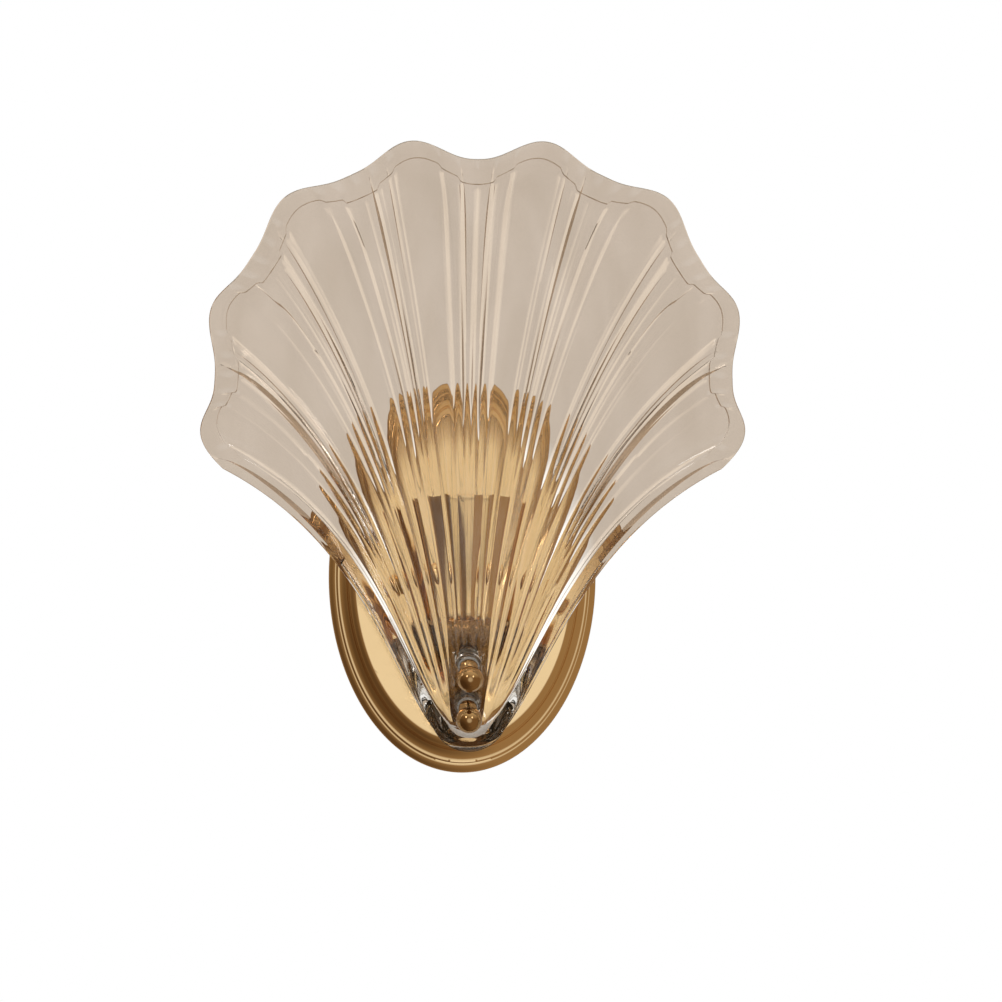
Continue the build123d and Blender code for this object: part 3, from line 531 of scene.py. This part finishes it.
def shell_mesh(name, columns_per_flute=8, rows=130):
    """Bowl, flat rim band, upright rim wall and back as one closed mesh."""
    sides, rises = shell_stations(columns_per_flute, rows)
    across, along = len(sides), len(rises)
    bowl, back, lips = [], [], [[] for _ in LIP_TURNS]
    for side in sides:
        near = max(min(side, 1 - 2 * PROBE), 2 * PROBE - 1)
        meridians = [meridian(near + shift, 0) for shift in (-PROBE, 0.0, PROBE)]
        inner, outer = meridian(side, 0), meridian(side, 1)
        for rise in rises:
            bowl.append(bowl_point(side, rise, inner, True) * MM)
            for turn, lip in zip(LIP_TURNS, lips):
                lip.append(lip_point(side, rise, inner, outer, turn) * MM)
            back.append(back_point(side, rise, meridians, outer) * MM)
    points = bowl + back
    count = len(bowl)
    faces = []
    for i in range(across - 1):
        for j in range(along - 1):
            a, b = i * along + j, (i + 1) * along + j
            faces.append((a, b, b + 1, a + 1))
            faces.append((count + a + 1, count + b + 1, count + b, count + a))
    border = [i * along for i in range(across)]
    border += [(across - 1) * along + j for j in range(1, along)]
    border += [i * along + along - 1 for i in range(across - 2, -1, -1)]
    border += [j for j in range(along - 2, 0, -1)]
    loops = [border]
    for lip in lips:
        loops.append(list(range(len(points), len(points) + len(border))))
        points += [lip[k] for k in border]
    loops.append([count + k for k in border])
    for upper, lower in zip(loops, loops[1:]):
        for k in range(len(border)):
            n = (k + 1) % len(border)
            faces.append((upper[k], lower[k], lower[n], upper[n]))
    return mesh_object(name, points, faces, glass)


PAD_BACK, PAD_THICK, PAD_R, SEAT_CUT, HALF_PITCH, HOLE_R = 2.0, 7.5, 6.0, 4.0, 10.25, 4.3
HOLE_START, HOLE_RUN = PAD_BACK - 1.0, 14.0
TILT = math.radians(25.0)
DROP_AXIS = Vector((0, -math.cos(TILT), -math.sin(TILT)))
DROP_UP = Vector((0, -math.sin(TILT), math.cos(TILT)))
DROP_MIDDLE = Vector((0, -44.95, -43.72)) * MM
HOLES = [DROP_MIDDLE + DROP_UP * (s * HALF_PITCH * MM) for s in (-1, 1)]


def stadium(name, origin, half_pitch, radius, height, turns=48):
    """A closed pad with round ends about the two holes."""
    ring = []
    for end, start in ((1, 0.0), (-1, math.pi)):
        for k in range(turns + 1):
            a = start + math.pi * k / turns
            ring.append((radius * math.cos(a), end * half_pitch + radius * math.sin(a)))
    count = len(ring)
    points = [
        origin + DROP_AXIS * level + Vector((1, 0, 0)) * x + DROP_UP * y
        for level in (0.0, height)
        for x, y in ring
    ]
    faces = [(k, count + k, count + (k + 1) % count, (k + 1) % count) for k in range(count)]
    faces += [tuple(range(count)), tuple(reversed(range(count, 2 * count)))]
    return mesh_object(name, points, faces, glass, False)


SEAT = DROP_MIDDLE + DROP_AXIS * PAD_BACK * MM

shell = shell_mesh("shell_shade")
cut(shell, stadium("seat", SEAT - DROP_AXIS * SEAT_CUT * MM, HALF_PITCH * MM, PAD_R * MM, SEAT_CUT * MM))
cut(shell, stadium("pad", SEAT, HALF_PITCH * MM, PAD_R * MM, PAD_THICK * MM), "UNION")
for hole in HOLES:
    cut(shell, tube("hole", hole + DROP_AXIS * HOLE_START * MM, DROP_AXIS, HOLE_R * MM, HOLE_RUN * MM, 64))
shade_creased(shell)
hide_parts("glass_shade")
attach(shell, FIXTURE)


# ---------------------------------------------------------------- canopy, finely meshed
EDGE, LIP, COVE, BEAD, STEP = 1.8, 3.4, 3.8, 4.1, 0.45
HALF_WIDE, HALF_HIGH = 61.5, 90.0
MOULDING_WIDE, MOULDING_HIGH = 12.6, 16.2
SHEET = 1.2
# x, z and radius: canopy studs, bracket screws, lead grommet
CANOPY_HOLES = ((-22, 0, 2.2), (22, 0, 2.2), (0, -25.5, 2.2), (0, -34.5, 2.2), (0, -46, 5.0))


def canopy_profile(sink):
    """(share of the moulding's width, level) from the rim to the face, sunk by the wall for the inside."""
    lip_top = EDGE + LIP - sink
    cove_top = lip_top + STEP + COVE
    turns = [k / 10 * math.pi / 2 for k in range(11)]
    line = [(0.0, 0.0)]
    line += [(0.28 * (1 - math.cos(t)), EDGE - sink + LIP * math.sin(t)) for t in turns]
    line += [(0.31 + 0.36 * math.sin(t), lip_top + STEP + COVE * (1 - math.cos(t))) for t in turns]
    line += [(0.70 + 0.30 * (1 - math.cos(t)), cove_top + STEP + BEAD * math.sin(t)) for t in turns]
    return line


def canopy_mesh(name, turns=320):
    rings = []
    for sink in (0.0, SHEET):
        side = []
        for share, level in canopy_profile(sink):
            a = HALF_WIDE - MOULDING_WIDE * share - sink
            b = HALF_HIGH - MOULDING_HIGH * share - sink
            angles = [2 * math.pi * k / turns for k in range(turns)]
            side.append([Vector((a * math.cos(t), -level, b * math.sin(t))) * MM for t in angles])
        rings.append(side)
    outer, inner = rings
    order = list(reversed(inner)) + outer
    points = [p for ring in order for p in ring]
    faces = []
    for r in range(len(order) - 1):
        for k in range(turns):
            n = (k + 1) % turns
            faces.append((r * turns + k, r * turns + n, (r + 1) * turns + n, (r + 1) * turns + k))
    faces.append(tuple(range(turns)))
    faces.append(tuple(reversed(range((len(order) - 1) * turns, len(order) * turns))))
    return mesh_object(name, points, faces, canopy_brass)


canopy = canopy_mesh("oval_canopy")
for x, z, r in CANOPY_HOLES:
    cut(canopy, tube("hole", Vector((x, -10, z)) * MM, (0, -1, 0), r * MM, 6 * MM, 48))
round_edges(canopy, 0.3 * MM, 3)
shade_creased(canopy)
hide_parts("canopy")
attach(canopy, FIXTURE)


# ---------------------------------------------------------------- camera
camera_data = bpy.data.cameras.new("camera")
camera = bpy.data.objects.new("camera", camera_data)
bpy.context.scene.collection.objects.link(camera)
forward = Vector(VIEW).normalized()
camera.location = Vector((-88.9, -1797.9, 35.1)) * MM
camera.rotation_mode = "QUATERNION"
camera.rotation_quaternion = forward.to_track_quat("-Z", "Y")
camera_data.sensor_width = 36.0
camera_data.lens = 140.3
camera_data.clip_start = 0.05
camera_data.clip_end = 50.0
bpy.context.scene.camera = camera


# ---------------------------------------------------------------- floor, world and lamps
def emitter(name, colour, strength):
    material = bpy.data.materials.new(name)
    material.use_nodes = True
    tree = material.node_tree
    tree.nodes.clear()
    out = tree.nodes.new("ShaderNodeOutputMaterial")
    glow = tree.nodes.new("ShaderNodeEmission")
    glow.inputs["Color"].default_value = (*colour, 1.0)
    glow.inputs["Strength"].default_value = strength
    tree.links.new(glow.outputs[0], out.inputs["Surface"])
    return material


def card(name, centre, look_at, width, height, colour, strength):
    """A flat studio card that faces look_at."""
    half_w, half_h = width / 2, height / 2
    corners = [(-half_w, -half_h, 0), (half_w, -half_h, 0), (half_w, half_h, 0), (-half_w, half_h, 0)]
    turn = (Vector(look_at) - Vector(centre)).to_track_quat("Z", "Y")
    points = [turn @ Vector(c) + Vector(centre) for c in corners]
    made = mesh_object(name, points, [(0, 1, 2, 3)], emitter(name, colour, strength), False)
    made.visible_camera = False
    made.visible_diffuse = False
    made.visible_transmission = False
    made.visible_shadow = False


pale = Shader("pale_floor")
pale.set(Base_Color=pale.mix(pale.noise(3.0), (0.80, 0.80, 0.79), (0.84, 0.84, 0.83)), Roughness=0.9)
FLOOR = [(x, y, -0.5) for x, y in ((-4, -3), (4, -3), (4, 1.4), (-4, 1.4))]
floor = mesh_object("floor", FLOOR, [(0, 1, 2, 3)], pale.material, False)
floor.visible_glossy = False

# Angles in degrees from the view, for refracted rays, and from the front.
STRAIGHT, STREAK_FROM, STREAK_TO, DUSK_FROM = 11.0, 17.0, 26.0, 34.0
SOFTBOX_IN, SOFTBOX_OUT = 11.0, 26.0
FRONT_IN, FRONT_OUT = 50.0, 80.0

world = bpy.data.worlds.new("studio")
bpy.context.scene.world = world
world.use_nodes = True
tree = world.node_tree
tree.nodes.clear()


def world_node(kind, **inputs):
    made = tree.nodes.new("ShaderNode" + kind)
    for name, value in inputs.items():
        socket = made.inputs[int(name[1:])] if name.startswith("_") else made.inputs[name.replace("_", " ")]
        if isinstance(value, bpy.types.NodeSocket):
            tree.links.new(value, socket)
        else:
            socket.default_value = value
    return made


def cosine_to(axis):
    """Cosine of the angle between the ray and an axis."""
    made = world_node("VectorMath", _0=world_node("TexCoord").outputs["Generated"])
    made.operation = "DOT_PRODUCT"
    made.inputs[1].default_value = axis
    return made.outputs["Value"]


def falling(value, start, end):
    """0 within start degrees of the axis and 1 beyond end degrees."""
    low, high = math.cos(math.radians(start)), math.cos(math.radians(end))
    return world_node("MapRange", _0=value, _1=low, _2=high, _3=0.0, _4=1.0).outputs[0]


def background(colour, strength=1.0):
    return world_node("Background", Color=(*colour, 1.0), Strength=strength).outputs[0]


def blend(factor, a, b):
    made = world_node("MixShader", _0=factor)
    tree.links.new(a, made.inputs[1])
    tree.links.new(b, made.inputs[2])
    return made.outputs[0]


# Refracted rays meet a bright ring round the view and a dusk beyond it; reflected rays meet
# brown below and left and a warm tone above; the camera sees white.
path = world_node("LightPath")
bent = cosine_to(VIEW)
facing = cosine_to((0.03, -1.0, 0.0))
white = background((1.0, 1.0, 1.0))
through = blend(falling(bent, STRAIGHT, STREAK_FROM), white, background((1.0, 0.99, 0.97), 1.32))
through = blend(falling(bent, STREAK_TO, DUSK_FROM), through, background((0.50, 0.42, 0.34)))
away = falling(facing, SOFTBOX_IN, SOFTBOX_OUT)
through = blend(falling(facing, FRONT_IN, FRONT_OUT), white, through)
shaded = falling(cosine_to((-0.75, -0.1, -0.65)), 25.0, 75.0)
mirrored = blend(shaded, background((0.13, 0.08, 0.042)), background((0.36, 0.25, 0.145)))
mirrored = blend(falling(cosine_to((0.2, -0.1, 1.0)), 25.0, 68.0), background((0.9, 0.82, 0.68)), mirrored)
mirrored = blend(away, white, mirrored)
lit = blend(path.outputs["Is Glossy Ray"], background((1.0, 0.985, 0.96), 0.55), mirrored)
lit = blend(path.outputs["Is Transmission Ray"], lit, through)
lit = blend(path.outputs["Is Camera Ray"], lit, white)
tree.links.new(lit, world_node("OutputWorld").inputs["Surface"])


def area(name, place, target, size, power, size_y=None):
    data = bpy.data.lights.new(name, "AREA")
    data.energy = power
    data.color = LAMP_WHITE
    data.shape = "RECTANGLE"
    data.size = size
    data.size_y = size_y or size
    lamp = bpy.data.objects.new(name, data)
    bpy.context.scene.collection.objects.link(lamp)
    lamp.location = place
    lamp.rotation_mode = "QUATERNION"
    lamp.rotation_quaternion = (Vector(target) - Vector(place)).to_track_quat("-Z", "Y")
    lamp.visible_camera = False
    lamp.visible_glossy = False


LAMP_WHITE, LAMP_AIM, CARD_AIM, CARD_GLOW = (1.0, 0.98, 0.95), (0, -0.05, 0.05), (0, -0.05, 0), 7.0
area("key", (-0.9, -1.5, 1.2), LAMP_AIM, 0.7, 16)
area("side", (1.3, -1.1, 0.5), LAMP_AIM, 0.25, 6, size_y=1.2)
area("top", (0.0, -0.5, 1.6), LAMP_AIM, 0.8, 9)

card("window_left", (-0.75, -1.3, 0.75), CARD_AIM, 0.22, 0.34, LAMP_WHITE, CARD_GLOW)
card("window_right", (0.65, -1.3, 0.60), CARD_AIM, 0.16, 0.30, LAMP_WHITE, CARD_GLOW)

bpy.context.scene.view_settings.view_transform = "Standard"
